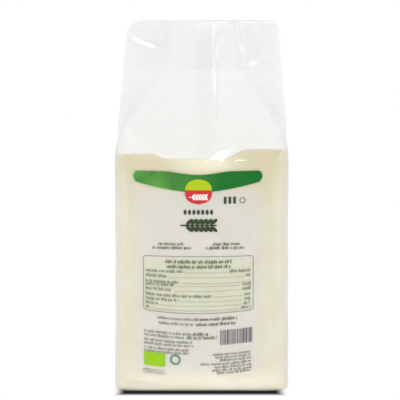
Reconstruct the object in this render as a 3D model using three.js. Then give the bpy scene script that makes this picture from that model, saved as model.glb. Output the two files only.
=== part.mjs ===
// A one-kilogram bag of flour: a side-gusseted, block-bottomed bag of clear film, standing on its base.
// The flour fills the lower part to a squared block with bulging faces. Above it the empty film rises as
// a wedge, its side gussets tucked inwards, to a top that is folded over, with the sealed end lying
// down the back.
// Millimetres. +Z is up, -Y is the printed front, and the origin is the middle of the base.
import * as THREE from 'three';
import { mergeVertices } from 'three/addons/utils/BufferGeometryUtils.js';

// Overall size
const width = 117;
const depth = 80;
const height = 247;

// Block of flour
const flourLevel = 153;
const baseRadius = 3;
const baseInset = 1.6;
const footDepth = 76;
const bulgeHeight = 66;
const shoulderDepth = 74;

// Empty film above the flour, between the upright creases of its front and back panels. It falls in a
// little faster near the flour than near the fold, and leans slightly to the right.
const shoulderWidth = 113.8;
const topWidth = 101.2;
const foldThickness = 5;
const foldRoundness = 0.85;
const wedgePower = 1.1;
const lean = 0.8;
const gussetDepth = 30;
const flapLength = 34;
const flapThickness = 1.6;
const flapStep = 0.5;

// Corners of the folded top, across and down: the left one is tucked further than the right one
const leftTuck = { across: 11, down: 9 };
const rightTuck = { across: 7, down: 6 };

// How square the full section is: the exponent of a superellipse, at the base and up the flour
const baseSquareness = 9;
const flourSquareness = 5;

// Where the full section has become the empty one, where the side gussets have sunk in, and where the
// fold has pressed them shut again
const creaseStart = 150;
const creaseEnd = 175;
const gussetStart = 160;
const gussetEnd = 228;
const pressStart = 221;
const pressEnd = 238;

// Fineness of the mesh
const ringSegments = 80;
const baseSteps = 4;
const flourSteps = 20;
const filmSteps = 13;
const topSteps = 5;

const filmColour = 0xdfdcc6;

const { clamp, lerp, smoothstep } = THREE.MathUtils;

// How far up the empty film a height lies: 0 at the flour and 1 at the fold
function filmShare(z) {
  return clamp((z - flourLevel) / (height - flourLevel), 0, 1);
}

// How much a round edge has turned in, from 0 where it starts to 1 at its end
function roundedOff(share) {
  return 1 - Math.sqrt(1 - clamp(share, 0, 1) ** 2);
}

// The inset of the round lower edge
function baseEdge(z) {
  return baseInset * roundedOff(1 - z / baseRadius);
}

// Half the width of a film panel, drawn in at one of the tucked corners of the fold
function halfPanel(z, tuck) {
  const corner = tuck.across * roundedOff(1 - (height - z) / tuck.down);
  return lerp(shoulderWidth, topWidth, filmShare(z)) / 2 - corner;
}

// Half the depth: widest where the flour bulges, and a wedge from the shoulder up to the fold
function halfDepth(z) {
  const below = lerp(footDepth, depth, Math.sin(Math.PI / 2 * clamp(z / bulgeHeight, 0, 1)));
  const above = lerp(depth, shoulderDepth, smoothstep(z, bulgeHeight, flourLevel));
  const flour = z < bulgeHeight ? below : above;
  const wedge = lerp(flour, foldThickness, filmShare(z) ** wedgePower);
  const foldRadius = foldThickness / 2;
  const fold = foldRoundness * roundedOff(1 - (height - z) / foldRadius);
  return wedge / 2 * (1 - fold) - baseEdge(z);
}

// The section where flour fills the bag, towards a point on the unit square: a superellipse
function fullSection(u, v, z) {
  const n = lerp(baseSquareness, flourSquareness, smoothstep(z, 0, bulgeHeight));
  const reach = (Math.abs(u) ** n + Math.abs(v) ** n) ** (-1 / n);
  return [u * reach * (width / 2 - baseEdge(z)), v * reach * halfDepth(z)];
}

// The section of the empty film: two flat panels, and between them a side gusset tucked in as a V,
// which is pressed shut near the fold
function emptySection(u, v, z) {
  const tuck = u < 0 ? leftTuck : rightTuck;
  const towardsMiddle = Math.abs(u) === 1 ? 1 - Math.abs(v) : 0;
  const pressedShut = smoothstep(z, pressStart, pressEnd);
  const tuckedIn = gussetDepth * smoothstep(z, gussetStart, gussetEnd) * (1 - pressedShut);
  const x = u * halfPanel(z, tuck) - Math.sign(u) * towardsMiddle * tuckedIn;
  return [x + lean * filmShare(z), v * halfDepth(z)];
}

// The sealed end folded down the back, which thickens the film there
function foldedFlap(z) {
  const start = height - flapLength;
  return flapThickness * clamp((z - start) / flapStep, 0, 1);
}

// A point at an even pace round a square of half-side 1
function onSquare(angle) {
  const quarter = angle / (Math.PI / 2);
  const side = Math.round(quarter);
  const along = 2 * (quarter - side);
  const c = Math.round(Math.cos(side * Math.PI / 2));
  const s = Math.round(Math.sin(side * Math.PI / 2));
  return [c - along * s, s + along * c];
}

// Where the skin of the bag lies at a height, in the direction of an angle about its upright axis
function skin(angle, z) {
  const [u, v] = onSquare(angle);
  const full = fullSection(u, v, z);
  const empty = emptySection(u, v, z);
  const emptied = smoothstep(z, creaseStart, creaseEnd);
  const x = lerp(full[0], empty[0], emptied);
  const y = lerp(full[1], empty[1], emptied) + Math.max(v, 0) * foldedFlap(z);
  return [x, y];
}

// Heights from one level up to another in even steps, without the first
function evenLevels(from, to, steps) {
  return Array.from({ length: steps }, (_, i) => lerp(from, to, (i + 1) / steps));
}

// Heights of the rings of the mesh, closer together round the edges of the base and of the fold
function ringLevels() {
  const flapStart = height - flapLength;
  const cornerStart = height - Math.max(leftTuck.down, rightTuck.down);
  const levels = [0];
  for (let step = 1; step <= baseSteps; step += 1) {
    levels.push(baseRadius * (1 - Math.cos(Math.PI / 2 * step / baseSteps)));
  }
  levels.push(...evenLevels(baseRadius, flourLevel, flourSteps));
  levels.push(...evenLevels(flourLevel, flapStart, filmSteps));
  levels.push(flapStart + flapStep);
  levels.push(...evenLevels(flapStart + flapStep, cornerStart, topSteps));
  for (let step = 1; step <= topSteps; step += 1) {
    levels.push(cornerStart + (height - cornerStart) * Math.sin(Math.PI / 2 * step / topSteps));
  }
  return levels;
}

// The closed bag: an upright cylinder whose rings are drawn out to the bag's section at each level
function bagGeometry() {
  const levels = ringLevels();
  const bands = levels.length - 1;
  const cylinder = new THREE.CylinderGeometry(1, 1, 1, ringSegments, bands);
  cylinder.rotateX(Math.PI / 2);
  const points = cylinder.attributes.position;
  for (let i = 0; i < points.count; i += 1) {
    const z = levels[Math.round((points.getZ(i) + 0.5) * bands)];
    const onAxis = Math.hypot(points.getX(i), points.getY(i)) < 0.5;
    const angle = Math.atan2(points.getY(i), points.getX(i));
    const [x, y] = onAxis ? [0, 0] : skin(angle, z);
    points.setXYZ(i, x, y, z);
  }
  cylinder.deleteAttribute('normal');
  cylinder.deleteAttribute('uv');
  const closed = mergeVertices(cylinder, 1e-4);
  closed.computeVertexNormals();
  return closed;
}

function filledFilm() {
  return new THREE.MeshStandardMaterial({ color: filmColour, roughness: 0.35, metalness: 0 });
}

const flourBag = new THREE.Mesh(bagGeometry(), filledFilm());
flourBag.name = 'flour_bag';

const bag = new THREE.Group();
bag.add(flourBag);

export default bag;
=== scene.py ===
import math
import random

import bmesh
import bpy
import numpy as np
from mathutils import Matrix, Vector, noise


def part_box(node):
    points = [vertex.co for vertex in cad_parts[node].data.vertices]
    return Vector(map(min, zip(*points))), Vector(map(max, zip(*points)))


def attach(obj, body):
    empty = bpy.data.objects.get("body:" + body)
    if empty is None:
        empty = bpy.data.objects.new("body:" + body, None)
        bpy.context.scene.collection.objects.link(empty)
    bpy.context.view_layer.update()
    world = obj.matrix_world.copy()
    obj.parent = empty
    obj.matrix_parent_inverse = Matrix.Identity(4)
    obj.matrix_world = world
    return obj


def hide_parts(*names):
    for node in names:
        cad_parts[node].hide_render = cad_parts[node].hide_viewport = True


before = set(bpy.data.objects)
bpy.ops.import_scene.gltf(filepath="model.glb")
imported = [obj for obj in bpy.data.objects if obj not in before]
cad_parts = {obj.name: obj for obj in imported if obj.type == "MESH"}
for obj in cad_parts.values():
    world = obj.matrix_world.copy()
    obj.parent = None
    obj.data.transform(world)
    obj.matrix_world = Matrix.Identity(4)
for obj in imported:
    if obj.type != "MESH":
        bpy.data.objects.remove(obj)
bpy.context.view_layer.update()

# Camera: a long lens a little above level, with the middle of the bag in the middle of the picture.
# The picture is square, and PICTURE_WIDTH is what it takes in at the bag's own distance.
MM = 0.001
CAMERA_DISTANCE = 900 * MM
CAMERA_RISE = math.radians(5)
PICTURE_WIDTH = 274.6 * MM
SENSOR_WIDTH = 36
AIM = Vector((-1.2 * MM, 0, 124.5 * MM))

bpy.ops.object.camera_add(
    location=AIM + CAMERA_DISTANCE * Vector((0, -math.cos(CAMERA_RISE), math.sin(CAMERA_RISE))),
    rotation=(math.pi / 2 - CAMERA_RISE, 0, 0),
)
camera = bpy.context.object
camera.data.sensor_width = SENSOR_WIDTH
camera.data.lens = SENSOR_WIDTH * CAMERA_DISTANCE / PICTURE_WIDTH
bpy.context.scene.camera = camera
bpy.context.scene.view_settings.view_transform = "Standard"


# Light table: a white glowing sheet of opal acrylic. Its glow is masked out in a soft-edged patch under
# the bag, a painted shadow, which shows as a narrow dark strip in front of its base. As a light it is
# brighter close in front of the bag and dimmer further off there. The room is white, but for a grey card
# low in front, which keeps the inks deep.
FLOOR_SIZE = 8.0
FLOOR_GLOW = 0.9
FRONT_GLOW = 1.2
FRONT_GLOW_START, FRONT_GLOW_FULL = -50 * MM, -85 * MM
FAR_GLOW = 0.4
FAR_GLOW_START, FAR_GLOW_FULL = -700 * MM, -1300 * MM
# The painted shadow: half size, middle, width of the soft edge, and the glow left inside it.
SHADOW_HALF_SIZE = (58 * MM, 46.5 * MM)
SHADOW_MIDDLE = (-1 * MM, -5.5 * MM)
SHADOW_BLUR = 8 * MM
SHADOW_GLOW = 0.02
ROOM_WHITE = 1.0
ROOM_LIGHT = 0.82
CARD_GREY = 0.25
CARD_FRONT_START, CARD_FRONT_FULL = -0.6, -0.9
CARD_TOP, CARD_TOP_START = 0.4, 0.15


def linear(hex_colour):
    """An sRGB hex colour as linear red, green, blue and a full alpha."""
    channels = [int(hex_colour[i : i + 2], 16) / 255 for i in (1, 3, 5)]
    return (*[c / 12.92 if c <= 0.04045 else ((c + 0.055) / 1.055) ** 2.4 for c in channels], 1.0)


def add_node(tree, kind, settings=None, **inputs):
    """A new node with its settings. Its inputs go by name, or by number as n0, n1 and so on, and each is a
    value or the socket to link."""
    node = tree.nodes.new(kind)
    for name, value in (settings or {}).items():
        setattr(node, name, value)
    for name, value in inputs.items():
        key = int(name[1:]) if name[0] == "n" and name[1:].isdigit() else name.replace("_", " ")
        if isinstance(value, bpy.types.NodeSocket):
            tree.links.new(value, node.inputs[key])
        else:
            node.inputs[key].default_value = value
    return node


def empty_material(name):
    """A material with an empty node tree, and its tree."""
    made = bpy.data.materials.new(name)
    made.use_nodes = True
    made.node_tree.nodes.clear()
    return made, made.node_tree


def finish_material(tree, shader):
    output = tree.nodes.new("ShaderNodeOutputMaterial")
    tree.links.new(shader.outputs[0], output.inputs["Surface"])


def opal_acrylic():
    """Looks white all over, but for a painted shadow: a soft-edged dark place where the bag stands."""
    made, tree = empty_material("opal_acrylic_light_table")
    place = add_node(tree, "ShaderNodeTexCoord").outputs["Object"]
    middle = (*SHADOW_MIDDLE, 0)
    from_middle = add_node(tree, "ShaderNodeVectorMath", {"operation": "SUBTRACT"}, n0=place, n1=middle)
    distance = add_node(tree, "ShaderNodeVectorMath", {"operation": "ABSOLUTE"}, n0=from_middle.outputs[0])
    across = add_node(tree, "ShaderNodeSeparateXYZ", n0=distance.outputs[0])
    lit = []
    for axis, half in zip("XY", SHADOW_HALF_SIZE):
        edge = {"interpolation_type": "SMOOTHSTEP"}
        lit.append(add_node(tree, "ShaderNodeMapRange", edge, Value=across.outputs[axis],
                            From_Min=half - SHADOW_BLUR, From_Max=half, To_Min=SHADOW_GLOW))
    glow = add_node(tree, "ShaderNodeMath", {"operation": "MAXIMUM"},
                    n0=lit[0].outputs[0], n1=lit[1].outputs[0])
    depthwise = add_node(tree, "ShaderNodeSeparateXYZ", n0=place).outputs["Y"]
    level = add_node(tree, "ShaderNodeMapRange", Value=depthwise, From_Min=FRONT_GLOW_FULL,
                     From_Max=FRONT_GLOW_START, To_Min=FRONT_GLOW, To_Max=FLOOR_GLOW)
    far = add_node(tree, "ShaderNodeMapRange", Value=depthwise, From_Min=FAR_GLOW_FULL,
                   From_Max=FAR_GLOW_START, To_Min=FAR_GLOW / FRONT_GLOW, To_Max=1)
    dimmed = add_node(tree, "ShaderNodeMath", {"operation": "MULTIPLY"},
                      n0=level.outputs[0], n1=far.outputs[0])
    straight = add_node(tree, "ShaderNodeLightPath").outputs["Is Camera Ray"]
    seen = add_node(tree, "ShaderNodeMath", {"operation": "MAXIMUM"}, n0=straight, n1=dimmed.outputs[0])
    strength = add_node(tree, "ShaderNodeMath", {"operation": "MULTIPLY"},
                        n0=glow.outputs[0], n1=seen.outputs[0])
    finish_material(tree, add_node(tree, "ShaderNodeEmission", Strength=strength.outputs[0]))
    return made


def white_room():
    """The studio round the table: white to look at, and as a light grey where the card stands."""
    world = bpy.data.worlds.new("white_room")
    world.use_nodes = True
    world.node_tree.nodes.clear()
    tree = world.node_tree
    towards = add_node(tree, "ShaderNodeTexCoord").outputs["Generated"]
    ways = add_node(tree, "ShaderNodeSeparateXYZ", n0=towards)
    in_front = add_node(tree, "ShaderNodeMapRange", Value=ways.outputs["Y"],
                        From_Min=CARD_FRONT_START, From_Max=CARD_FRONT_FULL)
    lowdown = add_node(tree, "ShaderNodeMapRange", Value=ways.outputs["Z"],
                       From_Min=CARD_TOP, From_Max=CARD_TOP_START)
    card = add_node(tree, "ShaderNodeMath", {"operation": "MULTIPLY"},
                    n0=in_front.outputs[0], n1=lowdown.outputs[0])
    shade = add_node(tree, "ShaderNodeMapRange", Value=card.outputs[0],
                     To_Min=ROOM_LIGHT, To_Max=CARD_GREY)
    light = add_node(tree, "ShaderNodeBackground", Color=(1, 1, 1, 1), Strength=shade.outputs[0])
    seen = add_node(tree, "ShaderNodeBackground", Color=(1, 1, 1, 1), Strength=ROOM_WHITE)
    straight = add_node(tree, "ShaderNodeLightPath").outputs["Is Camera Ray"]
    mixed = add_node(tree, "ShaderNodeMixShader", n0=straight, n1=light.outputs[0], n2=seen.outputs[0])
    output = tree.nodes.new("ShaderNodeOutputWorld")
    tree.links.new(mixed.outputs[0], output.inputs["Surface"])
    return world


bpy.ops.mesh.primitive_plane_add(size=FLOOR_SIZE)
floor = bpy.context.object
floor.name = "light_table"
floor.data.materials.append(opal_acrylic())
bpy.context.scene.world = white_room()


# Lamps: a wide softbox behind the camera, one at each side for the rounded corners, a low strip close
# in front of the foot, and three small bright lamps for the glints on the folds of the film. The last two
# stand where the two flat facets of the film mirror them to the camera, the second of them overhead.
def softbox(name, place, width, height, brightness):
    """A rectangular lamp that faces the bag, as bright to look at as brightness times white."""
    place = Vector(place)
    turn = (AIM - place).to_track_quat("-Z", "Y").to_euler()
    bpy.ops.object.light_add(type="AREA", location=place, rotation=turn)
    lamp = bpy.context.object
    lamp.name = name
    lamp.data.shape = "RECTANGLE"
    lamp.data.size = width
    lamp.data.size_y = height
    lamp.data.energy = brightness * math.pi * width * height
    return lamp


softbox("wide_softbox", (-0.35, -1.3, 0.4), 0.8, 0.9, 0.9)
softbox("left_softbox", (-1.3, -0.6, 0.3), 0.9, 1.1, 0.9)
softbox("right_softbox", (1.3, -0.6, 0.3), 0.9, 1.1, 0.9)
softbox("small_lamp", (0.35, -0.9, 1.0), 0.14, 0.5, 4.5)
softbox("facet_lamp", (0.1225, -1.2755, 0.535), 0.1, 0.18, 16)
softbox("fold_lamp", (0.084, -0.414, 1.357), 0.15, 0.22, 8)

# The foot strip faces straight back, and only its light shows.
foot_strip = softbox("foot_strip", (0, -0.052, 0.0018), 0.125, 0.003, 4.5)
foot_strip.rotation_euler = (math.pi / 2, 0, 0)
foot_strip.visible_camera = False
foot_strip.visible_glossy = False


# Form of the bag, shared by the flour and the film round it: a side-gusseted bag of flat film, blown
# out to a squared block by the flour and falling in to a folded top above it. Sizes are the solid's, but
# for a tighter lower edge and a thinner fold.
low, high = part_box("flour_bag")
WIDTH = high[0] - low[0]
DEPTH = high[1] - low[1]
HEIGHT = high[2] - low[2]
WEDGE_START = 153 * MM
BASE_RADIUS = 1.8 * MM
BASE_INSET = 1.0 * MM
FOOT_DEPTH = DEPTH - 4 * MM
BULGE_HEIGHT = 66 * MM
SHOULDER_DEPTH = 74 * MM
SHOULDER_WIDTH = 113.8 * MM
TOP_WIDTH = 101.2 * MM
LEAN = 0.8 * MM
WEDGE_POWER = 1.1
FOLD_THICKNESS = 4 * MM
FOLD_ROUNDNESS = 0.9
GUSSET_DEPTH = 30 * MM
CREASE_START = 150 * MM
CREASE_END = 175 * MM
GUSSET_START = 160 * MM
GUSSET_END = 228 * MM
LEFT_TUCK = (11 * MM, 9 * MM)
RIGHT_TUCK = (7 * MM, 6 * MM)
BASE_SQUARENESS = 9
FLOUR_SQUARENESS = 5


def eased(value, start, end):
    """A smooth step from 0 at start to 1 at end."""
    share = np.clip((value - start) / (end - start), 0, 1)
    return share * share * (3 - 2 * share)


def blend(a, b, share):
    """What lies a share of the way from a to b."""
    return a + (b - a) * share


def rounded_off(share):
    """How far a round edge has turned in, from 0 where it starts to 1 at its end."""
    return 1 - np.sqrt(1 - np.clip(share, 0, 1) ** 2)


def film_share(z):
    """How far up the empty film a height lies: 0 at the flour and 1 at the fold."""
    return np.clip((z - WEDGE_START) / (HEIGHT - WEDGE_START), 0, 1)


def base_edge(z):
    """The inset of the round lower edge."""
    return BASE_INSET * rounded_off(1 - z / BASE_RADIUS)


def half_depth(z):
    """Widest where the flour bulges, and a wedge from the shoulder up to the fold."""
    below = blend(FOOT_DEPTH, DEPTH, np.sin(np.pi / 2 * np.clip(z / BULGE_HEIGHT, 0, 1)))
    above = blend(DEPTH, SHOULDER_DEPTH, eased(z, BULGE_HEIGHT, WEDGE_START))
    flour_depth = np.where(z < BULGE_HEIGHT, below, above)
    wedge = blend(flour_depth, FOLD_THICKNESS, film_share(z) ** WEDGE_POWER)
    fold = FOLD_ROUNDNESS * rounded_off(1 - (HEIGHT - z) / (FOLD_THICKNESS / 2))
    return wedge / 2 * (1 - fold) - base_edge(z)


def half_panel(u, z):
    """Half the width of the flat front or back panel, drawn in at the tucked corner of the fold."""
    across = np.where(u < 0, LEFT_TUCK[0], RIGHT_TUCK[0])
    down = np.where(u < 0, LEFT_TUCK[1], RIGHT_TUCK[1])
    corner = across * rounded_off(1 - (HEIGHT - z) / down)
    return blend(SHOULDER_WIDTH, TOP_WIDTH, film_share(z)) / 2 - corner


def on_square(angle):
    """A point at an even pace round a square of half-side 1."""
    quarter = angle / (np.pi / 2)
    side = np.round(quarter)
    along = 2 * (quarter - side)
    c = np.round(np.cos(side * np.pi / 2))
    s = np.round(np.sin(side * np.pi / 2))
    return c - along * s, s + along * c


def skin(angle, z):
    """Points on the smooth outside of the bag, by angle about the upright axis and by height."""
    u, v = on_square(angle)
    n = blend(BASE_SQUARENESS, FLOUR_SQUARENESS, eased(z, 0, BULGE_HEIGHT))
    reach = (np.abs(u) ** n + np.abs(v) ** n) ** (-1 / n)
    full_x = u * reach * (WIDTH / 2 - base_edge(z))
    full_y = v * reach * half_depth(z)
    towards_middle = np.where(np.abs(u) > 1 - 1e-9, 1 - np.abs(v), 0)
    tucked_in = GUSSET_DEPTH * eased(z, GUSSET_START, GUSSET_END)
    empty_x = u * half_panel(u, z) - np.sign(u) * towards_middle * tucked_in + LEAN * film_share(z)
    empty_y = v * half_depth(z)
    emptied = eased(z, CREASE_START, CREASE_END)
    return np.stack([blend(full_x, empty_x, emptied), blend(full_y, empty_y, emptied), z], axis=-1)


def outwards(angle, z):
    """Unit normals of the smooth skin, from points a small step away, in radians and in metres."""
    step = 1e-4
    round_it = skin(angle + step, z) - skin(angle - step, z)
    lower = np.maximum(z - step, 0)
    upper = np.minimum(z + step, HEIGHT)
    up_it = skin(angle, upper) - skin(angle, lower)
    normal = np.cross(round_it, up_it)
    return normal / np.maximum(np.linalg.norm(normal, axis=-1, keepdims=True), 1e-12)


NOISE_SHIFT = (7.3, 3.1, 5.7)


def wavy(points, grain, seed):
    """Smooth noise from -1 to 1 at each point, with lumps about one grain across."""
    offset = Vector([seed * shift for shift in NOISE_SHIFT])
    return np.array([noise.noise(Vector(p) / grain + offset) for p in points.reshape(-1, 3)])


# Dents all over the film, and sharper crumples where it is empty. Both die out close to the foot and to
# the fold, where the film is held flat.
DENT_SIZE, DENT_DEPTH = 26 * MM, 0.45 * MM
DENTS_LOST_IN_EMPTY = 0.4
CRUMPLE_SIZE, CRUMPLE_DEPTH = 17 * MM, 0.8 * MM
CRUMPLES_START, CRUMPLES_FULL = 150 * MM, 185 * MM
FLAT_AT_FOOT, FLAT_AT_FOLD = 12 * MM, 8 * MM

# Creases of the film on the front: where each ridge starts and ends, in mm across and up, and how wide and
# how high it is. The first four follow the edges of the flat front panel or lie low on it, and the rest
# are folds in the empty film and over the top edge of the flour.
CREASES = [
    ((-53.0, 160.0), (-53.4, 138.0), 4.0, 0.5),
    ((-53.4, 138.0), (-45.5, 100.0), 4.0, 0.4),
    ((51.5, 162.0), (50.0, 140.0), 4.0, 0.5),
    ((-56.0, 10.2), (-29.0, 6.4), 2.0, 0.9),
    ((-50.0, 229.0), (-33.0, 224.0), 4.0, 0.5),
    ((22.7, 246.0), (24.7, 227.0), 2.2, 0.8),
    ((24.7, 227.0), (27.5, 218.0), 2.2, 0.8),
    ((27.5, 218.0), (46.0, 222.5), 2.4, 0.8),
    ((1.0, 154.5), (15.0, 151.5), 2.4, 0.5),
    ((15.0, 151.5), (23.0, 164.5), 2.4, 0.8),
    ((23.0, 164.5), (44.0, 205.0), 6.0, 0.3),
    ((-36.0, 166.0), (-14.0, 200.0), 6.0, 0.8),
    ((6.4, 244.0), (6.4, 188.0), 2.2, 0.7),
]
LOWER_AT_ENDS = 0.6


def ridges(points):
    """How far the creases lift the film at each point of the front."""
    lift = np.zeros(len(points))
    in_front = points[:, 1] < 0
    place = points[:, [0, 2]]
    for start, end, wide, tall in CREASES:
        start = np.array(start) * MM
        along = np.array(end) * MM - start
        share = np.clip((place - start) @ along / (along @ along), 0, 1)
        away = np.linalg.norm(place - start - share[:, None] * along, axis=1)
        fade = 1 - LOWER_AT_ENDS * np.abs(2 * share - 1) ** 3
        lift += tall * MM * fade * np.exp(-((away / (wide * MM)) ** 2)) * in_front
    return lift


def relief(points):
    """Soft dents all over, sharper crumples in the empty film, and the creases."""
    flat = points.reshape(-1, 3)
    up = flat[:, 2]
    dents = DENT_DEPTH * wavy(flat, DENT_SIZE, 1)
    crumples = CRUMPLE_DEPTH * (0.5 - np.abs(wavy(flat, CRUMPLE_SIZE, 2)))
    empty = eased(up, CRUMPLES_START, CRUMPLES_FULL)
    loose = eased(up, 0, FLAT_AT_FOOT) * (1 - eased(up, HEIGHT - FLAT_AT_FOLD, HEIGHT))
    return (dents * (1 - DENTS_LOST_IN_EMPTY * empty) + crumples * empty) * loose + ridges(flat)


# Flat facets of the film, over the top edge of the flour and across the left of the head: the corners in
# mm across and up, how the face is turned to the right and tilted up, in degrees, and how wide its soft
# edge is, in mm.
FACETS = [
    (((1.1, 153.8), (14.9, 150.5), (22.8, 162.4), (11.6, 161.7)), 2, 10, 1.2),
    (((-48.0, 231.5), (-33.8, 227.7), (-25.5, 229.3), (-47.5, 238.5)), 6.1, 34, 1.8),
]


def facet_share(points, facet_corners, edge):
    """1 inside the facet and 0 outside it, for points on the front."""
    place = points[:, [0, 2]]
    corners = np.array(facet_corners) * MM
    inside = np.full(len(points), np.inf)
    for start, end in zip(corners, np.roll(corners, -1, axis=0)):
        along = (end - start) / np.linalg.norm(end - start)
        away = place - start
        inside = np.minimum(inside, along[0] * away[:, 1] - along[1] * away[:, 0])
    return eased(inside, -edge * MM / 2, edge * MM / 2) * (points[:, 1] < 0)


def facet_depth(points, facet_corners, turn, tilt):
    """Where the plane of the facet lies, front to back, at each point."""
    middle = np.mean(facet_corners, axis=0) * MM
    from_middle = points[:, [0, 2]] - middle
    slope_across = math.tan(math.radians(turn))
    slope_up = math.tan(math.radians(tilt)) / math.cos(math.radians(turn))
    return -half_depth(middle[1]) + slope_across * from_middle[:, 0] + slope_up * from_middle[:, 1]


def shaped(angle, z, inset=0.0):
    """Points on the creased skin, or inside it by inset."""
    smooth = skin(angle, z)
    lift = relief(smooth).reshape(z.shape) - inset
    points = smooth + outwards(angle, z) * lift[..., None]
    for facet_corners, turn, tilt, edge in FACETS:
        flat = facet_depth(points, facet_corners, turn, tilt) + inset
        points[:, 1] = blend(points[:, 1], flat, facet_share(points, facet_corners, edge))
    return points


def select_edges(at_end):
    """In edit mode, selects just the open edges whose two ends pass the test of their place."""
    work = bmesh.from_edit_mesh(bpy.context.object.data)
    for part in (*work.verts, *work.edges, *work.faces):
        part.select = False
    for edge in work.edges:
        if edge.is_boundary and all(at_end(v.co) for v in edge.verts):
            edge.select = True
            for v in edge.verts:
                v.select = True
    work.select_flush(True)
    bmesh.update_edit_mesh(bpy.context.object.data)


MERGE_DISTANCE = 0.001 * MM


def wrapped_grid(name, columns, rows, place):
    """A grid rolled up into a tube, left in edit mode. Place gives the points, by angle about the upright
    axis and by number of the row, from 0 at the foot."""
    bpy.ops.object.select_all(action="DESELECT")
    bpy.ops.mesh.primitive_grid_add(x_subdivisions=columns, y_subdivisions=rows, size=1)
    piece = bpy.context.object
    piece.name = name
    flat = np.empty(len(piece.data.vertices) * 3)
    piece.data.vertices.foreach_get("co", flat)
    flat = flat.reshape(-1, 3)
    angle = flat[:, 0] * 2 * np.pi - np.pi / 2
    row = np.round((flat[:, 1] + 0.5) * rows).astype(int)
    piece.data.vertices.foreach_set("co", place(angle, row).ravel())
    bpy.ops.object.mode_set(mode="EDIT")
    bpy.ops.mesh.select_all(action="SELECT")
    bpy.ops.mesh.remove_doubles(threshold=MERGE_DISTANCE)
    return piece


def close_and_smooth(piece, sharp_angle):
    """Still in edit mode: turns the faces outwards, then leaves edit mode and shades it smooth."""
    bpy.ops.mesh.select_all(action="SELECT")
    bpy.ops.mesh.normals_make_consistent(inside=False)
    bpy.ops.object.mode_set(mode="OBJECT")
    bpy.ops.object.select_all(action="DESELECT")
    piece.select_set(True)
    bpy.context.view_layer.objects.active = piece
    bpy.ops.object.shade_smooth_by_angle(angle=sharp_angle)


# Flour: one kilogram of white wheat flour, poured in and settled against the film. Its sides are the
# film's own shape. Its top is uneven: it stands higher at the sides than in the middle, most of all at
# the right, and falls a little from front to back.
FLOUR_GAP = 0.5 * MM
FLOUR_COLUMNS = 200
FLOUR_WALL_ROWS = 90
FLOUR_TOP_ROWS = 34
FLOUR_EDGE_SHARE = 0.04
FLOUR_MIDDLE = 155.4 * MM
FALL_TO_BACK = 6 * MM
LEFT_LEDGE, LEFT_LEDGE_START, LEFT_LEDGE_END = 2.8 * MM, -24 * MM, -32 * MM
RIGHT_LEDGE, RIGHT_LEDGE_START, RIGHT_LEDGE_END = 6.0 * MM, 14 * MM, 30 * MM
LUMP_HEIGHT, LUMP_SIZE = 0.5 * MM, 19 * MM
SMALL_LUMP_HEIGHT, SMALL_LUMP_SIZE = 0.25 * MM, 5 * MM


def flour_level(x, y):
    """How high the flour stands at a place in plan."""
    places = np.stack([x, y, np.zeros_like(x)], axis=-1)
    left = LEFT_LEDGE * eased(x, LEFT_LEDGE_START, LEFT_LEDGE_END)
    right = RIGHT_LEDGE * eased(x, RIGHT_LEDGE_START, RIGHT_LEDGE_END)
    fall = FALL_TO_BACK * np.clip(0.5 + y / SHOULDER_DEPTH, 0, 1)
    lumps = LUMP_HEIGHT * wavy(places, LUMP_SIZE, 4)
    small_lumps = SMALL_LUMP_HEIGHT * wavy(places, SMALL_LUMP_SIZE, 5)
    return FLOUR_MIDDLE + left + right - fall + (lumps + small_lumps)


def flour_points(angle, row):
    """Round the lower edge, up the wall, and then over the top to the middle."""
    edge = skin(angle, np.full_like(angle, FLOUR_MIDDLE))
    top = flour_level(edge[:, 0], edge[:, 1])
    up = np.clip(row / FLOUR_WALL_ROWS, 0, 1)
    round_edge = BASE_RADIUS * up / FLOUR_EDGE_SHARE
    above_edge = blend(BASE_RADIUS, top, (up - FLOUR_EDGE_SHARE) / (1 - FLOUR_EDGE_SHARE))
    z = np.where(up < FLOUR_EDGE_SHARE, round_edge, above_edge)
    points = shaped(angle, z, FLOUR_GAP)
    points[:, 2] = np.maximum(points[:, 2], FLOUR_GAP)
    inwards = np.clip((row - FLOUR_WALL_ROWS) / FLOUR_TOP_ROWS, 0, 1)
    points[:, :2] *= (1 - inwards)[:, None]
    over = row > FLOUR_WALL_ROWS
    points[over, 2] = flour_level(points[over, 0], points[over, 1]) - FLOUR_GAP
    return points


FLOUR_DARKER, FLOUR_LIGHTER = "#DDD7BF", "#E1DDC9"
CLOUD_SIZE = 14 * MM
# Painted shade: the flour is drawn darker near its top, from SHADED_FROM up to SHADED_TO.
SHADED_FLOUR = "#D9D1AE"
SHADED_FROM, SHADED_TO = 120 * MM, 150 * MM
# Painted highlight: a lighter oval of flour colour round the glint on the facet of the film.
PAINTED_HIGHLIGHT_FLOUR = "#EEE9CE"
HIGHLIGHT_MIDDLE, HIGHLIGHT_HALF = (3 * MM, 0, 152 * MM), (32 * MM, 1, 10 * MM)
HIGHLIGHT_FULL_WITHIN = 0.2
GRAIN_SIZE, GRAIN_DEPTH = 0.6 * MM, 0.2 * MM
FLOUR_SMOOTH_BELOW = math.radians(60)


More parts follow.
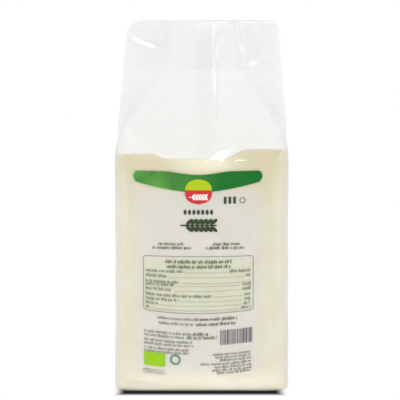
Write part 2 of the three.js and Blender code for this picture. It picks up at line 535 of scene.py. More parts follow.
def milled_flour():
    """White flour pressed against film: soft, quite without shine and cloudy. It is drawn darker near its
    top, which is painted shade, and it has a painted highlight round the glint on the facet of the film. Its
    grains, a tenth of a millimetre in real flour, are drawn larger so that they show."""
    made, tree = empty_material("milled_wheat_flour")
    place = add_node(tree, "ShaderNodeTexCoord").outputs["Object"]
    patches = add_node(tree, "ShaderNodeTexNoise", Vector=place, Scale=1 / CLOUD_SIZE, Detail=4)
    colour = add_node(tree, "ShaderNodeValToRGB", Fac=patches.outputs["Fac"])
    colour.color_ramp.elements[0].position = 0.35
    colour.color_ramp.elements[0].color = linear(FLOUR_DARKER)
    colour.color_ramp.elements[1].position = 0.7
    colour.color_ramp.elements[1].color = linear(FLOUR_LIGHTER)
    up = add_node(tree, "ShaderNodeSeparateXYZ", n0=place).outputs["Z"]
    near_top = add_node(tree, "ShaderNodeMapRange", Value=up, From_Min=SHADED_FROM, From_Max=SHADED_TO)
    shaded = add_node(tree, "ShaderNodeMix", {"data_type": "RGBA"}, Factor=near_top.outputs[0],
                      n6=colour.outputs["Color"], n7=linear(SHADED_FLOUR))
    away = add_node(tree, "ShaderNodeVectorMath", {"operation": "SUBTRACT"}, n0=place, n1=HIGHLIGHT_MIDDLE)
    oval = add_node(tree, "ShaderNodeVectorMath", {"operation": "DIVIDE"}, n0=away.outputs[0], n1=HIGHLIGHT_HALF)
    reach = add_node(tree, "ShaderNodeVectorMath", {"operation": "LENGTH"}, n0=oval.outputs[0])
    highlight = add_node(tree, "ShaderNodeMapRange", {"interpolation_type": "SMOOTHSTEP"},
                    Value=reach.outputs["Value"], From_Min=1, From_Max=HIGHLIGHT_FULL_WITHIN)
    highlighted = add_node(tree, "ShaderNodeMix", {"data_type": "RGBA"}, Factor=highlight.outputs[0],
                      n6=shaded.outputs[2], n7=linear(PAINTED_HIGHLIGHT_FLOUR))
    grains = add_node(tree, "ShaderNodeTexNoise", Vector=place, Scale=1 / GRAIN_SIZE, Detail=2)
    bump = add_node(tree, "ShaderNodeBump", Height=grains.outputs["Fac"],
                    Strength=0.35, Distance=GRAIN_DEPTH)
    finish_material(tree, add_node(
        tree, "ShaderNodeBsdfPrincipled", Base_Color=highlighted.outputs[2],
        Roughness=0.95, Specular_IOR_Level=0.1, Normal=bump.outputs["Normal"]))
    return made


flour = wrapped_grid("flour", FLOUR_COLUMNS, FLOUR_WALL_ROWS + FLOUR_TOP_ROWS, flour_points)
select_edges(lambda co: co.z < BASE_RADIUS / 2)
bpy.ops.mesh.edge_face_add()
close_and_smooth(flour, FLOUR_SMOOTH_BELOW)
flour.data.materials.append(milled_flour())
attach(flour, "root")
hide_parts("flour_bag")


# Film: a bag of clear polypropylene film about 40 thousandths of a millimetre thick, formed round the
# flour as one skin. Above the flour its sides are tucked in as gussets, up to the fold at the top.
# Haze is the share of light that the film scatters, and dust is a share of the haze of its empty part.
FILM_COLUMNS = 320
FILM_ROWS = 200
EDGE_ROWS, CROWN_ROWS = 6, 16
CROWN_DEPTH = 9 * MM
FILM_TINT, FILM_WHITE = "#FEFEFE", "#FBFCFE"
FILM_ROUGHNESS = 0.12
FILM_SMOOTH_BELOW = math.radians(50)
FILM_HAZE = 0.1
EMPTY_HAZE = 0.4
UNEVEN_HAZE, UNEVEN_SIZE = 0.09, 24 * MM
GRAZING_HAZE, GRAZING_BLEND = 1.1, 0.25
DUST_START, DUST_FULL = -3 * MM, 1.5 * MM
FLAT_START, FLAT_FULL = 0.7, 0.98
SEAM_LEFT, SEAM_RIGHT, LIP_RIGHT = -4.5 * MM, 7.3 * MM, 11.5 * MM
DUST_LEFT_OF_SEAM, DUST_UNDER_SEAM, DUST_UNDER_LIP, DUST_RIGHT_OF_SEAM = 0.5, 0.3, 0.0, 0.25
FLAP_LENGTH = 34 * MM
DUST_UNDER_FLAP = 0.4
# Painted highlight and reflection: high on the front, less dust in a strip over the seam's lip and to its
# right.
SHEEN_STRIP_LEFT, SHEEN_STRIP_RIGHT, SHEEN_STRIP_FADE = 5.8 * MM, 9.5 * MM, 3 * MM
SHEEN_STRIP_FOOT, SHEEN_STRIP_FULL = 176 * MM, 184 * MM
DUST_IN_SHEEN_STRIP = 0.5
DUST_UNDER_PAINTED_REFLECTION = 0.75

# Patches with more dust in front: middle and half size in mm, across and up, and how much more.
DUST_PATCHES = [
    ((-35.0, 240.0), (13.0, 8.0), 0.5),
    ((-4.0, 239.0), (10.0, 12.0), 0.5),
    ((-2.0, 190.0), (12.0, 40.0), 0.15),
    ((33.0, 238.0), (10.0, 10.0), 0.2),
]
PATCH_FULL_WITHIN = 0.3
LEAST_GLOSS, MOST_GLOSS = 0.04, 0.45
GLOSS_STEEPNESS = 5


def film_levels():
    """Heights of the rows, closer together round the lower edge and the fold."""
    edge = BASE_RADIUS * (1 - np.cos(np.linspace(0, np.pi / 2, EDGE_ROWS + 1)))
    crown = HEIGHT - CROWN_DEPTH * (1 - np.sin(np.linspace(0, np.pi / 2, CROWN_ROWS + 1)))
    even_rows = FILM_ROWS - EDGE_ROWS - CROWN_ROWS
    between = np.linspace(BASE_RADIUS, HEIGHT - CROWN_DEPTH, even_rows + 1)
    return np.concatenate([edge[:-1], between, crown[1:]])


def film_points(angle, row):
    """The creased skin at each row's height, with nothing below the base."""
    points = shaped(angle, film_levels()[row])
    points[:, 2] = np.maximum(points[:, 2], 0)
    return points


def dust_on(points):
    """The share of flour dust at each point of the film: none where the flour fills it and none in the
    gussets. The front panel has most of it, and more in some patches. High on the front it has less from
    over the seam's lip rightwards: a painted highlight in a strip there and a painted reflection beyond it.
    The back panel has less, and the least under the lip and the folded end."""
    across, depthwise, up = points.T
    above_flour = eased(up - flour_level(across, depthwise), DUST_START, DUST_FULL)
    flat = eased(np.abs(depthwise / half_depth(up)), FLAT_START, FLAT_FULL) * above_flour
    on_back = np.select(
        [across < SEAM_LEFT, across < SEAM_RIGHT, across < LIP_RIGHT],
        [DUST_LEFT_OF_SEAM, DUST_UNDER_SEAM, DUST_UNDER_LIP], DUST_RIGHT_OF_SEAM)
    on_back = np.where(up > HEIGHT - FLAP_LENGTH, DUST_UNDER_FLAP, 1) * on_back
    past_sheen_strip = eased(across, SHEEN_STRIP_RIGHT, SHEEN_STRIP_RIGHT + SHEEN_STRIP_FADE)
    beside = np.where(across < SHEEN_STRIP_LEFT, 1, blend(DUST_IN_SHEEN_STRIP, DUST_UNDER_PAINTED_REFLECTION, past_sheen_strip))
    in_front = blend(1, beside, eased(up, SHEEN_STRIP_FOOT, SHEEN_STRIP_FULL))
    for middle, half, extra in DUST_PATCHES:
        reach = np.hypot((across / MM - middle[0]) / half[0], (up / MM - middle[1]) / half[1])
        in_front = in_front + extra * eased(reach, 1, PATCH_FULL_WITHIN)
    return flat * np.where(depthwise < 0, in_front, on_back)


def clear_film(name, haze, tint):
    """Cast polypropylene: clear on the flour, milky with flour dust on its empty panels, and glossy, most
    of all seen edge on. The attribute dust says where the dust lies, and a piece without it has none."""
    made, tree = empty_material(name)
    place = add_node(tree, "ShaderNodeTexCoord").outputs["Object"]
    dusty = add_node(tree, "ShaderNodeAttribute", {"attribute_name": "dust"}).outputs["Fac"]
    clouds = add_node(tree, "ShaderNodeTexNoise", Vector=place, Scale=1 / UNEVEN_SIZE, Detail=3)
    density = add_node(tree, "ShaderNodeMapRange", Value=clouds.outputs["Fac"],
                       To_Min=EMPTY_HAZE - UNEVEN_HAZE, To_Max=EMPTY_HAZE + UNEVEN_HAZE)
    dust = add_node(tree, "ShaderNodeMath", {"operation": "MULTIPLY"},
                    n0=dusty, n1=density.outputs[0])
    edge_on = add_node(tree, "ShaderNodeLayerWeight", Blend=GRAZING_BLEND).outputs["Facing"]
    grazing = add_node(tree, "ShaderNodeMath", {"operation": "MULTIPLY_ADD"},
                       n0=edge_on, n1=GRAZING_HAZE, n2=haze)
    milky = add_node(tree, "ShaderNodeMath", {"operation": "ADD", "use_clamp": True},
                     n0=grazing.outputs[0], n1=dust.outputs[0])
    clear = add_node(tree, "ShaderNodeBsdfTransparent", Color=linear(tint))
    through = add_node(tree, "ShaderNodeBsdfTranslucent", Color=linear(FILM_WHITE))
    back = add_node(tree, "ShaderNodeBsdfDiffuse", Color=linear(FILM_WHITE))
    scattered = add_node(tree, "ShaderNodeMixShader", n0=0.5, n1=through.outputs[0], n2=back.outputs[0])
    body = add_node(tree, "ShaderNodeMixShader", n0=milky.outputs[0],
                    n1=clear.outputs[0], n2=scattered.outputs[0])
    gloss = add_node(tree, "ShaderNodeBsdfGlossy", Roughness=FILM_ROUGHNESS)
    turned_away = add_node(tree, "ShaderNodeLayerWeight", Blend=0.5).outputs["Facing"]
    steep = add_node(tree, "ShaderNodeMath", {"operation": "POWER"}, n0=turned_away, n1=GLOSS_STEEPNESS)
    mirrored = add_node(tree, "ShaderNodeMapRange", Value=steep.outputs[0],
                        To_Min=LEAST_GLOSS, To_Max=MOST_GLOSS)
    finish_material(tree, add_node(tree, "ShaderNodeMixShader", n0=mirrored.outputs[0],
                                   n1=body.outputs[0], n2=gloss.outputs[0]))
    return made


film = wrapped_grid("film_bag", FILM_COLUMNS, FILM_ROWS, film_points)
for at_end in (lambda co: co.z < BASE_RADIUS / 2, lambda co: co.z > HEIGHT / 2):
    select_edges(at_end)
    bpy.ops.mesh.edge_face_add()
close_and_smooth(film, FILM_SMOOTH_BELOW)
corners = np.empty(len(film.data.vertices) * 3)
film.data.vertices.foreach_get("co", corners)
dust = film.data.attributes.new("dust", "FLOAT", "POINT")
dust.data.foreach_set("value", dust_on(corners.reshape(-1, 3)))
film.data.materials.append(clear_film("cast_polypropylene_film", FILM_HAZE, FILM_TINT))
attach(film, "root")
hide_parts("flour_bag")


# Back seam: the film's two long edges, lapped and welded up the middle of the back in a strip about
# 12 mm wide. One free lip stands clear of the weld; its film is drawn whiter and a little hazier than the
# weld's, a painted highlight along the seam.
SEAM_FOOT = 6 * MM
SEAM_TOP = 240 * MM
SEAM_LIFT = 0.25 * MM
SEAM_THICKNESS = 0.15 * MM
SEAM_COLUMNS, LIP_COLUMNS, SEAM_ROWS = 6, 3, 120
SEAM_TINT, SEAM_HAZE = "#FDFDFD", 0.02
# Painted highlight: the lip's whiter tint and extra haze.
LIP_TINT, LIP_HAZE = "#FFFFFF", 0.05
LIP_SLOPE = 0.08
BEHIND = 100 * MM


def strip_on_back(name, columns, rows, left, right, foot, top, lift):
    """A thin strip laid on the back of the film: lift gives its distance from the film, by place."""
    bpy.ops.object.select_all(action="DESELECT")
    bpy.ops.mesh.primitive_grid_add(x_subdivisions=columns, y_subdivisions=rows, size=1,
                                    rotation=(-math.pi / 2, 0, 0))
    bpy.ops.object.transform_apply(location=True, rotation=True, scale=True)
    piece = bpy.context.object
    piece.name = name
    for corner in piece.data.vertices:
        x = blend(left, right, corner.co.x + 0.5)
        z = blend(foot, top, corner.co.z + 0.5)
        hit, place, normal, _ = film.ray_cast(Vector((x, BEHIND, z)), Vector((0, -1, 0)))
        if not hit:
            raise ValueError(f"{name} misses the film at {x:.4f}, {z:.4f}")
        corner.co = place + normal * lift(x, z)
    wall = piece.modifiers.new("film_thickness", "SOLIDIFY")
    wall.thickness = SEAM_THICKNESS
    wall.offset = 1
    bpy.ops.object.modifier_apply(modifier=wall.name)
    bpy.ops.object.shade_smooth_by_angle(angle=FILM_SMOOTH_BELOW)
    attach(piece, "root")
    return piece


seam = strip_on_back("back_seam", SEAM_COLUMNS, SEAM_ROWS, SEAM_LEFT, SEAM_RIGHT, SEAM_FOOT, SEAM_TOP,
                     lambda x, z: SEAM_LIFT)
seam.data.materials.append(clear_film("welded_polypropylene_film", SEAM_HAZE, SEAM_TINT))
lip = strip_on_back("seam_lip", LIP_COLUMNS, SEAM_ROWS, SEAM_RIGHT, LIP_RIGHT, SEAM_FOOT, SEAM_TOP,
                    lambda x, z: SEAM_LIFT + LIP_SLOPE * (x - SEAM_RIGHT))
lip.data.materials.append(clear_film("lip_film_painted_highlight", LIP_HAZE, LIP_TINT))


# Folded end: the top of the bag, pressed flat and sealed by hot ribbed jaws, and folded down the back.
# The jaws leave fine crimped ribs along its free edge.
FLAP_LEFT, FLAP_RIGHT = -47.5 * MM, 49 * MM
FLAP_BELOW_FOLD = 4.5 * MM
FLAP_COLUMNS, FLAP_ROWS = 40, 110
FLAP_TINT, FLAP_HAZE = "#FEFEFE", 0.02
FLAP_LIFT = 0.5 * MM
CRIMP_BAND = 12 * MM
CRIMP_PITCH = 2 * MM
CRIMP_HEIGHT = 0.3 * MM


def flap_lift(x, z):
    """The flap stands further off towards its free edge, and the last of it is crimped."""
    down = (HEIGHT - z) / FLAP_LENGTH
    crimped = HEIGHT - z > FLAP_LENGTH - CRIMP_BAND
    rib = CRIMP_HEIGHT * math.sin(2 * math.pi * z / CRIMP_PITCH) if crimped else 0
    return FLAP_LIFT * (1 + down) + rib


flap = strip_on_back("folded_end", FLAP_COLUMNS, FLAP_ROWS, FLAP_LEFT, FLAP_RIGHT,
                     HEIGHT - FLAP_LENGTH, HEIGHT - FLAP_BELOW_FOLD, flap_lift)
flap.data.materials.append(clear_film("sealed_polypropylene_film", FLAP_HAZE, FLAP_TINT))


# Print: fields of ink laid on the outside of the front panel. Each is cut flat at its place, in mm
# across from the middle and up from the base, and then pressed on the film, which has stretched the
# lower lines into a shallow bow.
INK_LIFT = 0.12 * MM
INK_THICKNESS = 0.08 * MM
INK_ROUGHNESS, INK_IOR = 0.28, 1.35
MOTTLE_SIZE = 3 * MM
FLAT_PLACE = -100 * MM
BAR_COLUMN = 2.0

# The bow: how far a line rises away from the panel's middle, in mm for each square millimetre.
PANEL_MIDDLE = -2.0
BOW = 0.0019
LEAST_BOW = 0.0003
BOW_FULL_BELOW = 55
BOW_GONE_ABOVE = 100


def start_print(name):
    """A new empty piece, in edit mode, for the fields of one ink."""
    bpy.ops.object.select_all(action="DESELECT")
    made = bpy.data.objects.new(name, bpy.data.meshes.new(name))
    bpy.context.collection.objects.link(made)
    made.select_set(True)
    bpy.context.view_layer.objects.active = made
    bpy.ops.object.mode_set(mode="EDIT")
    return made


def lay_field(shape, columns, rows):
    """Adds a flat field: shape turns a place on the square from -1 to 1 into mm across and up."""
    bpy.ops.mesh.select_all(action="DESELECT")
    bpy.ops.mesh.primitive_grid_add(x_subdivisions=columns, y_subdivisions=rows, size=2,
                                    rotation=(math.pi / 2, 0, 0))
    work = bmesh.from_edit_mesh(bpy.context.object.data)
    work.verts.ensure_lookup_table()
    for corner in work.verts[-(columns + 1) * (rows + 1) :]:
        across, up = shape(corner.co.x, corner.co.z)
        corner.co = (across * MM, FLAT_PLACE, up * MM)
    bmesh.update_edit_mesh(bpy.context.object.data)


def lay_bar(left, right, bottom, top, columns=0):
    """A straight bar, with columns of faces about BAR_COLUMN wide, or as many columns as given."""
    middle, half = (left + right) / 2, (right - left) / 2
    centre, rise = (bottom + top) / 2, (top - bottom) / 2
    count = columns or max(1, round((right - left) / BAR_COLUMN))
    lay_field(lambda u, v: (middle + half * u, centre + rise * v), count, 1)


def bowed(across, up):
    """The height on the film of a place in the flat print, both in mm."""
    share = min(max((BOW_GONE_ABOVE - up) / (BOW_GONE_ABOVE - BOW_FULL_BELOW), 0), 1)
    return up + (LEAST_BOW + BOW * share) * (across - PANEL_MIDDLE) ** 2


def press_on(piece, ink, lift=INK_LIFT):
    """Leaves edit mode and moves each corner back on to the film, then gives the ink its thickness."""
    bpy.ops.object.mode_set(mode="OBJECT")
    for corner in piece.data.vertices:
        across, up = corner.co.x / MM, corner.co.z / MM
        start = Vector((corner.co.x, FLAT_PLACE, bowed(across, up) * MM))
        hit, place, normal, _ = film.ray_cast(start, Vector((0, 1, 0)))
        if not hit:
            raise ValueError(f"{piece.name} misses the film at {across:.1f}, {up:.1f}")
        corner.co = place + normal * lift
    wall = piece.modifiers.new("ink_thickness", "SOLIDIFY")
    wall.thickness = INK_THICKNESS
    wall.offset = 1
    bpy.ops.object.modifier_apply(modifier=wall.name)
    bpy.ops.object.shade_smooth_by_angle(angle=FILM_SMOOTH_BELOW)
    piece.data.materials.append(ink)
    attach(piece, "root")


def finish_ink(tree, colour):
    """Ends an ink's nodes with its surface, which is glossy as the film is."""
    finish_material(tree, add_node(tree, "ShaderNodeBsdfPrincipled", Base_Color=colour,
                                   Roughness=INK_ROUGHNESS, IOR=INK_IOR))


def printing_ink(name, colour, mottled):
    """Flexographic ink on film: thin and even, with a slight mottle."""
    made, tree = empty_material(name)
    place = add_node(tree, "ShaderNodeTexCoord").outputs["Object"]
    mottle = add_node(tree, "ShaderNodeTexNoise", Vector=place, Scale=1 / MOTTLE_SIZE, Detail=3)
    shade = add_node(tree, "ShaderNodeMix", {"data_type": "RGBA"}, Factor=mottle.outputs["Fac"],
                     n6=linear(colour), n7=linear(mottled))
    finish_ink(tree, shade.outputs[2])
    return made


GREEN_INK = printing_ink("green_flexo_ink", "#0C6C22", "#1C7A30")
LIME_INK = printing_ink("lime_flexo_ink", "#A4BC0C", "#AEC616")
LEAF_INK = printing_ink("leaf_green_flexo_ink", "#8ABC08", "#94C414")
RED_INK = printing_ink("red_flexo_ink", "#C4262A", "#CC3430")
DARK_INK = printing_ink("dark_olive_flexo_ink", "#2C3A1E", "#3A482A")
OLIVE_INK = printing_ink("olive_flexo_ink", "#57613C", "#656F48")
GREY_INK = printing_ink("grey_flexo_ink", "#7C806C", "#888C78")
PURPLE_INK = printing_ink("grey_purple_flexo_ink", "#5C5860", "#68646C")
WHITE_INK = printing_ink("white_flexo_ink", "#F6F3EA", "#FBF9F2")


# Frosted panel: a thin translucent whitish veil behind all the small print, which greys the flour a little:
# painted shade of the flat front, which catches less of the side light than the rounded sides. It fades out
# at its edges, and behind the table it is almost clear and faintly green. Both its faces show, so each lets
# most of the light through. Sides are left, right, foot and top.
PANEL_SIDES = (-48.5, 44.0, 6.0, 141.0)
PANEL_FADE = 13.0
PANEL_VEIL = 0.18
PANEL_WHITE = "#F4F4F8"
PANEL_LIFT = 0.04 * MM
PANEL_COLUMNS, PANEL_ROWS = 48, 60
TABLE_SIDES = (-38.7, 34.1, 52.4, 90.6)
TABLE_FADE = 3.0
TABLE_THINNED = 0.9
TABLE_TINT = (0.985, 0.999, 0.988, 1.0)


def soft_field(tree, place, sides, fade):
    """1 inside a field of print and 0 outside it, with edges that fade over a width."""
    parts = add_node(tree, "ShaderNodeSeparateXYZ", n0=place)
    inside = []
    for axis, start, end in (("X", *sides[:2]), ("Z", *sides[2:])):
        half = (end - start) / 2 * MM
        shifted = add_node(tree, "ShaderNodeMath", {"operation": "SUBTRACT"},
                           n0=parts.outputs[axis], n1=(start + end) / 2 * MM)
        away = add_node(tree, "ShaderNodeMath", {"operation": "ABSOLUTE"}, n0=shifted.outputs[0])
        inside.append(add_node(tree, "ShaderNodeMapRange", {"interpolation_type": "SMOOTHSTEP"},
                               Value=away.outputs[0], From_Min=half - fade * MM, From_Max=half,
                               To_Min=1, To_Max=0).outputs[0])
    both = add_node(tree, "ShaderNodeMath", {"operation": "MULTIPLY"}, n0=inside[0], n1=inside[1])
    return both.outputs[0]


def painted_shade_veil():
    """A veil drawn as thinned white ink, which paints shade on the flat front and fades to nothing at the
    edges of its field.
    """
    made, tree = empty_material("painted_shade_veil_ink")
    place = add_node(tree, "ShaderNodeTexCoord").outputs["Object"]
    on_panel = soft_field(tree, place, PANEL_SIDES, PANEL_FADE)
    on_table = soft_field(tree, place, TABLE_SIDES, TABLE_FADE)
    left_over = add_node(tree, "ShaderNodeMath", {"operation": "MULTIPLY_ADD"},
                         n0=on_table, n1=-TABLE_THINNED, n2=1)
    whitened = add_node(tree, "ShaderNodeMath", {"operation": "MULTIPLY"},
                        n0=on_panel, n1=left_over.outputs[0])
    veil = add_node(tree, "ShaderNodeMath", {"operation": "MULTIPLY"}, n0=whitened.outputs[0], n1=PANEL_VEIL)
    tint = add_node(tree, "ShaderNodeMix", {"data_type": "RGBA"}, Factor=on_table,
                    n6=(1, 1, 1, 1), n7=TABLE_TINT)
    clear = add_node(tree, "ShaderNodeBsdfTransparent", Color=tint.outputs[2])
    white = add_node(tree, "ShaderNodeBsdfDiffuse", Color=linear(PANEL_WHITE))
    finish_material(tree, add_node(tree, "ShaderNodeMixShader", n0=veil.outputs[0],
                                   n1=clear.outputs[0], n2=white.outputs[0]))
    return made


def within(sides):
    """A shape for lay_field: the whole field between its left, right, foot and top."""
    left, right, foot, top = sides
    return lambda u, v: (blend(left, right, (u + 1) / 2), blend(foot, top, (v + 1) / 2))


panel = start_print("front_panel_painted_shade")
lay_field(within(PANEL_SIDES), PANEL_COLUMNS, PANEL_ROWS)
press_on(panel, painted_shade_veil(), PANEL_LIFT)


# Green band: one field of green ink across the top of the panel. Its ends are rounded off, and in the
# middle its upper edge dips a little and its lower edge swells.
BAND_MIDDLE = -2.7
BAND_HALF = 42.6
BAND_TOP = 146.6
BAND_DIP = 2.4
BAND_DIP_HALF = 24.0
BAND_FOOT_END, BAND_FOOT_MIDDLE = 139.8, 132.6
BAND_FOOT_POWER = 1.6
BAND_CORNER = 3.0
BAND_COLUMNS, BAND_ROWS = 72, 10
# Painted sheen: the green is drawn lighter towards the band's left end, in cloudy patches.
DEEP_GREEN, BAND_SHEEN_GREEN = "#08681E", "#5C9C40"
BAND_SHEEN_FROM, BAND_SHEEN_TO = 12 * MM, -34 * MM
LEAST_BAND_SHEEN, MOST_BAND_SHEEN = 0.03, 0.85
BAND_SHEEN_PATCH = 16 * MM
LEAST_PATCH, MOST_PATCH = 0.3, 1.5


def green_ink_with_painted_sheen():
    """Green flexographic ink with a painted sheen: drawn lighter towards the left end of the band, in cloudy
    patches.
    """
    made, tree = empty_material("green_flexo_ink_with_painted_sheen")
    place = add_node(tree, "ShaderNodeTexCoord").outputs["Object"]
    across = add_node(tree, "ShaderNodeSeparateXYZ", n0=place).outputs["X"]
    leftwards = add_node(tree, "ShaderNodeMapRange", Value=across, From_Min=BAND_SHEEN_FROM, From_Max=BAND_SHEEN_TO,
                         To_Min=LEAST_BAND_SHEEN, To_Max=MOST_BAND_SHEEN)
    clouds = add_node(tree, "ShaderNodeTexNoise", Vector=place, Scale=1 / BAND_SHEEN_PATCH, Detail=3)
    cloudy = add_node(tree, "ShaderNodeMapRange", Value=clouds.outputs["Fac"], From_Min=0.3, From_Max=0.7,
                      To_Min=LEAST_PATCH, To_Max=MOST_PATCH)
    # How far the painted sheen lightens the green at each point.
    thin = add_node(tree, "ShaderNodeMath", {"operation": "MULTIPLY", "use_clamp": True},
                    n0=leftwards.outputs[0], n1=cloudy.outputs[0])
    shade = add_node(tree, "ShaderNodeMix", {"data_type": "RGBA"}, Factor=thin.outputs[0],
                     n6=linear(DEEP_GREEN), n7=linear(BAND_SHEEN_GREEN))
    finish_ink(tree, shade.outputs[2])
    return made


def band_shape(u, v):
    """The band's outline for lay_field, in mm across and up."""
    across = BAND_HALF * u
    from_end = min(BAND_HALF - abs(across), BAND_CORNER) / BAND_CORNER
    rounding = BAND_CORNER * (1 - math.sqrt(max(0, 1 - (1 - from_end) ** 2)))
    dip = BAND_DIP * max(0, 1 - (across / BAND_DIP_HALF) ** 2) ** 2
    top = BAND_TOP - dip - rounding
    foot = blend(BAND_FOOT_MIDDLE, BAND_FOOT_END, abs(u) ** BAND_FOOT_POWER) + rounding
    return BAND_MIDDLE + across, foot + (top - foot) * (v + 1) / 2


band = start_print("green_band")
lay_field(band_shape, BAND_COLUMNS, BAND_ROWS)
press_on(band, green_ink_with_painted_sheen())


# Roundel: two half discs, lime above and red below, with a white ear of grain across the red one. Each
# ink is printed over the one before it, and so it lies a little higher.
ROUNDEL_PLACE = (-2.2, 133.2)
ROUNDEL_HALF = (8.9, 8.2)
ROUNDEL_SPLIT = 0.12
ROUNDEL_END = 0.995
ROUNDEL_SQUARENESS = 2.6
SECOND_LIFT, THIRD_LIFT = 2 * INK_LIFT, 3.4 * INK_LIFT
ROUNDEL_EAR_BELOW = 3.6
ROUNDEL_EAR_LENGTH, ROUNDEL_GRAIN, ROUNDEL_PAIRS = 12.5, 2.6, 5

# An ear of grain, in shares of its length: where its grains start and what they are spread over.
EAR_START, EAR_REACH = 0.26, 0.8

# Its stalk and grains, in shares of a grain's size: half the stalk's thickness, how far a grain's middle
# lies from the stalk, half its length and half its width. Each grain slants away from the stalk.
STALK_HALF = 0.08
GRAIN_AWAY = 0.42
GRAIN_HALF = (0.52, 0.22)
GRAIN_SLANT = math.radians(38)


def disc(middle, half, turn=0.0):
    """A shape for lay_field: an oval about a place, turned by an angle."""
    def shape(u, v):
        x = half[0] * u * math.sqrt(1 - v * v / 2)
        y = half[1] * v * math.sqrt(1 - u * u / 2)
        return (middle[0] + x * math.cos(turn) - y * math.sin(turn),
                middle[1] + x * math.sin(turn) + y * math.cos(turn))
    return shape


def part_disc(from_up, to_up):
    """The slice of the roundel between two heights, as shares of its half height."""
    def shape(u, v):
        up = from_up + (to_up - from_up) * (v + 1) / 2
        wide = math.sqrt(max(0, 1 - abs(up) ** ROUNDEL_SQUARENESS))
        return ROUNDEL_PLACE[0] + ROUNDEL_HALF[0] * wide * u, ROUNDEL_PLACE[1] + ROUNDEL_HALF[1] * up
    return shape


lime_half = start_print("roundel_lime_half")
lay_field(part_disc(ROUNDEL_SPLIT, ROUNDEL_END), 14, 8)
press_on(lime_half, LIME_INK, SECOND_LIFT)

red_half = start_print("roundel_red_half")
lay_field(part_disc(-ROUNDEL_END, ROUNDEL_SPLIT), 14, 9)
press_on(red_half, RED_INK, SECOND_LIFT)


def lay_ear(middle, length, grain, pairs):
    """An ear of grain lying along the line of print: a stalk and slanting pairs of grains."""
    left = middle[0] - length / 2
    lay_bar(left, left + length, middle[1] - STALK_HALF * grain, middle[1] + STALK_HALF * grain)
    half = (GRAIN_HALF[0] * grain, GRAIN_HALF[1] * grain)
    for pair in range(pairs):
        across = left + EAR_START * length + pair * EAR_REACH * length / pairs
        for side in (-1, 1):
            centre = (across, middle[1] + side * GRAIN_AWAY * grain)
            lay_field(disc(centre, half, side * GRAIN_SLANT), 4, 3)


white_ear = start_print("roundel_ear")
ear_place = (ROUNDEL_PLACE[0], ROUNDEL_PLACE[1] - ROUNDEL_EAR_BELOW)
lay_ear(ear_place, ROUNDEL_EAR_LENGTH, ROUNDEL_GRAIN, ROUNDEL_PAIRS)
press_on(white_ear, WHITE_INK, THIRD_LIFT)


# Heading: a row of small diamonds over a large ear of grain, in dark ink. Beside the roundel, in the same
# ink, are three short bars and a ring.
DIAMONDS, DIAMOND_PITCH = 7, 2.9
FIRST_DIAMOND, DIAMOND_HALF = (-11.0, 119.7), (1.0, 1.7)
LARGE_EAR_PLACE, LARGE_EAR_LENGTH, LARGE_GRAIN, LARGE_PAIRS = (-2.3, 111.0), 24.0, 5.6, 6
BARS_LEFT = (14.5, 17.6, 20.7)
BAR_WIDTH, BAR_FOOT, BAR_TOP = 1.7, 125.2, 129.8
SMALL_RING_PLACE, SMALL_RING_RADIUS, SMALL_RING_LINE, SMALL_RING_STEPS = (26.8, 127.4), 2.0, 0.55, 18

dark_print = start_print("heading")
for diamond in range(DIAMONDS):
    centre = (FIRST_DIAMOND[0] + diamond * DIAMOND_PITCH, FIRST_DIAMOND[1])
    lay_field(disc(centre, DIAMOND_HALF), 4, 4)
lay_ear(LARGE_EAR_PLACE, LARGE_EAR_LENGTH, LARGE_GRAIN, LARGE_PAIRS)
for left in BARS_LEFT:
    lay_bar(left, left + BAR_WIDTH, BAR_FOOT, BAR_TOP)


def lay_ring(middle, radius, thickness, steps):
    """A ring of straight-sided segments round a place."""
    for step in range(steps):
        start = 2 * math.pi * step / steps
        span = 2 * math.pi / steps

        def shape(u, v, start=start, span=span):
            angle = start + span * (u + 1) / 2
            reach = radius - thickness * (1 - v) / 2
            return middle[0] + reach * math.cos(angle), middle[1] + reach * math.sin(angle)

        lay_field(shape, 1, 1)


lay_ring(SMALL_RING_PLACE, SMALL_RING_RADIUS, SMALL_RING_LINE, SMALL_RING_STEPS)
press_on(dark_print, DARK_INK)


# Small print: rows of short upright bars in groups, in and round a framed table in the middle of the
# panel. A seeded draw gives each group its number of bars, and each bar its width, foot and top.
BARS_IN_GROUP = (2, 8)
SMALL_BAR_WIDTH = (0.3, 0.9)
SMALL_BAR_GAP = 0.4
GROUP_GAP = 0.75
BELOW_FOOT = (0, 0, 0, 0.15)
BELOW_TOP = (0.3, 0.3, 0.22, 0)
draw = random.Random(12)


def lay_row(left, right, up, tall):
    """One row of bars from left to right about a height up. A bar starts below the row's foot and ends
    below its top by shares of its height, drawn from BELOW_FOOT and BELOW_TOP."""
    at = left
    bars = draw.randint(*BARS_IN_GROUP)
    while at < right - SMALL_BAR_WIDTH[0]:
        wide = min(draw.uniform(*SMALL_BAR_WIDTH), right - at)
        foot = up - tall / 2 - draw.choice(BELOW_FOOT) * tall
        top = up + tall / 2 - draw.choice(BELOW_TOP) * tall
        lay_bar(at, at + wide, foot, top, 1)
        at += wide + SMALL_BAR_GAP
        bars -= 1
        if bars == 0:
            bars = draw.randint(*BARS_IN_GROUP)
            at += GROUP_GAP


# Bold rows, by left end, right end and height: two at the top of the table and four under it, and then
# two blocks beside each other under the heading.
BOLD_TALL = 2.2
BOLD_ROWS = (
    (-24.1, 19.5, 87.0), (-23.0, 19.0, 83.7), (-5.0, 23.5, 48.8), (-4.0, 22.2, 45.4),
    (-6.0, 4.6, 38.8), (-10.0, 10.3, 36.4),
)
BLOCK_TALL = 2.0
BLOCK_ROWS = ((-28.5, -12.0, 98.9), (-32.5, -6.3, 96.3), (7.5, 25.0, 98.9), (2.5, 28.7, 96.3))

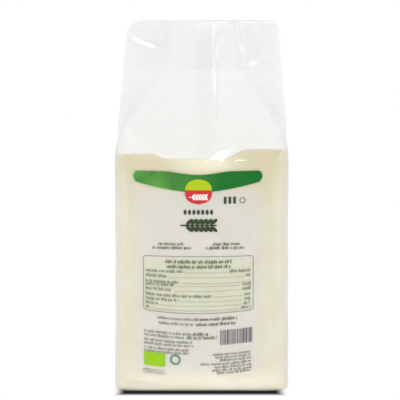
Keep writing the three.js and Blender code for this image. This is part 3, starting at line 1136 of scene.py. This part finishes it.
bold = start_print("bold_lines")
for left, right, up in BOLD_ROWS:
    lay_row(left, right, up, BOLD_TALL)
for left, right, up in BLOCK_ROWS:
    lay_row(left, right, up, BLOCK_TALL)
press_on(bold, OLIVE_INK)

FRAME_LINE = 0.38
FRAME_CORNER = 2.2

# Rows of the table, by height, length at the left and length at the right. A thin rule, a little below
# the row's middle, joins the two ends.
TABLE_TALL = 2.0
TABLE_ROWS = (
    (80.5, 25.0, 14.0), (77.2, 14.0, 3.0), (73.3, 22.0, 0.0), (71.3, 19.0, 5.5), (68.1, 18.0, 5.5),
    (64.2, 43.0, 4.0), (61.2, 22.0, 4.0), (58.1, 8.0, 4.6), (55.1, 3.0, 6.4),
)
ROW_LEFT, ROW_RIGHT = -37.1, 32.2
RULE_LEFT, RULE_RIGHT = -36.0, 31.0
RULE_BELOW = (0.9, 0.72)

# Rows under the table, by their ends and height: beside the bold ones, down the left side, down the
# right side, and two very small ones under the lime field.
BESIDE_ROWS = ((-29.5, -6.0, 48.8), (-28.5, -5.0, 45.4))
LEFT_SIDE, LEFT_TALL = -38.2, 1.9
LEFT_ROWS = ((-7.0, 38.8), (-11.0, 36.4), (-6.5, 33.2), (-6.0, 30.8), (-8.5, 27.9), (-8.0, 25.6))
RIGHT_SIDE, RIGHT_TALL = 32.8, 1.7
RIGHT_ROWS = (
    (7.0, 24.8), (9.0, 22.8), (12.0, 20.7), (-1.0, 18.4), (8.5, 16.2), (7.0, 14.1), (10.0, 12.2),
)
FOOT_LEFT, FOOT_RIGHT, FOOT_TALL = -38.9, -24.3, 1.0
FOOT_ROWS = (12.7, 11.0)


def lay_frame(sides, line, corner):
    """A frame of thin lines with rounded corners, inside its left, right, foot and top."""
    left, right, foot, top = sides
    lay_bar(left + corner, right - corner, top - line, top)
    lay_bar(left + corner, right - corner, foot, foot + line)
    lay_field(within((left, left + line, foot + corner, top - corner)), 1, 20)
    lay_field(within((right - line, right, foot + corner, top - corner)), 1, 20)
    quarters = ((right, top, 0), (left, top, 1), (left, foot, 2), (right, foot, 3))
    for x, z, quarter in quarters:
        middle_x = x - corner if x == right else x + corner
        middle_z = z - corner if z == top else z + corner

        def shape(u, v, middle_x=middle_x, middle_z=middle_z, quarter=quarter):
            angle = math.pi / 2 * (quarter + (u + 1) / 2)
            reach = corner - line * (1 - v) / 2
            return middle_x + reach * math.cos(angle), middle_z + reach * math.sin(angle)

        lay_field(shape, 5, 1)


table = start_print("table_and_small_lines")
lay_frame(TABLE_SIDES, FRAME_LINE, FRAME_CORNER)
for up, at_left, at_right in TABLE_ROWS:
    lay_row(ROW_LEFT, ROW_LEFT + at_left, up, TABLE_TALL)
    if at_right:
        lay_row(ROW_RIGHT - at_right, ROW_RIGHT, up, TABLE_TALL)
    lay_bar(RULE_LEFT + at_left, RULE_RIGHT - at_right, up - RULE_BELOW[0], up - RULE_BELOW[1])
for left, right, up in BESIDE_ROWS:
    lay_row(left, right, up, TABLE_TALL)
for right, up in LEFT_ROWS:
    lay_row(LEFT_SIDE, right, up, LEFT_TALL)
for left, up in RIGHT_ROWS:
    lay_row(left, RIGHT_SIDE, up, RIGHT_TALL)
for up in FOOT_ROWS:
    lay_row(FOOT_LEFT, FOOT_RIGHT, up, FOOT_TALL)
press_on(table, GREY_INK)


# Stripes: a block of dark upright stripes at the right of the panel. The seeded draw gives each its width
# and the gap after it.
STRIPES_LEFT, STRIPES_RIGHT = 12.3, 33.5
STRIPES_FOOT, STRIPES_TOP = 31.0, 41.0
LEAST_STRIPE = 0.3
STRIPE_WIDTHS = (0.35, 0.35, 0.7, 1.05)
STRIPE_GAPS = (0.35, 0.35, 0.7)

stripes = start_print("code_stripes")
at = STRIPES_LEFT
while at < STRIPES_RIGHT - LEAST_STRIPE:
    wide = draw.choice(STRIPE_WIDTHS)
    lay_bar(at, min(at + wide, STRIPES_RIGHT), STRIPES_FOOT, STRIPES_TOP, 1)
    at += wide + draw.choice(STRIPE_GAPS)
press_on(stripes, PURPLE_INK)


# Marks: a plain field of leaf green ink and a plain green ring, beside each other at the lower left of
# the panel.
FIELD_SIDES = (-38.3, -24.3, 15.5, 24.7)
RING_PLACE, RING_RADIUS, RING_LINE, RING_STEPS = (-17.6, 20.9), 3.7, 1.5, 28

lime_field = start_print("lime_field")
lay_field(within(FIELD_SIDES), 10, 6)
press_on(lime_field, LEAF_INK)

ring = start_print("green_ring")
lay_ring(RING_PLACE, RING_RADIUS, RING_LINE, RING_STEPS)
press_on(ring, GREEN_INK)
